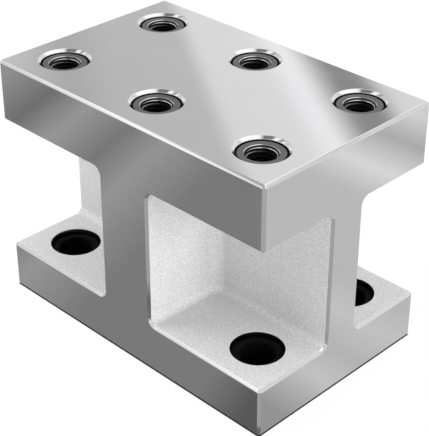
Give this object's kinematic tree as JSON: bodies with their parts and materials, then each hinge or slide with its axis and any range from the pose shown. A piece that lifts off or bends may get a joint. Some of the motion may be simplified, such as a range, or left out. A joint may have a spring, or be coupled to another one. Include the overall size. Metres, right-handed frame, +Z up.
{
  "type": "riser block",
  "caption": "Machined cast aluminium riser block with a top plate, a foot and a plus-shaped column, threaded inserts in the top and bushed bolt holes in the foot.",
  "frame": {"origin": "middle of the standing face, on the surface the block stands on", "axes": "+Z up from the standing face to the top face, X along the long side with three columns of threads, Y across the block with two rows"},
  "size_m": [0.135, 0.085, 0.1],
  "materials": {
    "cast_aluminium": "ground outer faces, satin; blasted cast surface in the pockets",
    "black_insert_steel": "black oxide steel, turned",
    "black_bushing_steel": "black oxide steel, turned"
  },
  "bodies": {
    "root": {"riser_body": "cast_aluminium", "thread_insert_front_left": "black_insert_steel", "thread_insert_front_middle": "black_insert_steel", "thread_insert_front_right": "black_insert_steel", "thread_insert_back_left": "black_insert_steel", "thread_insert_back_middle": "black_insert_steel", "thread_insert_back_right": "black_insert_steel", "foot_bushing_front_left": "black_bushing_steel", "foot_bushing_front_right": "black_bushing_steel", "foot_bushing_back_left": "black_bushing_steel", "foot_bushing_back_right": "black_bushing_steel"}
  },
  "joints": []
}
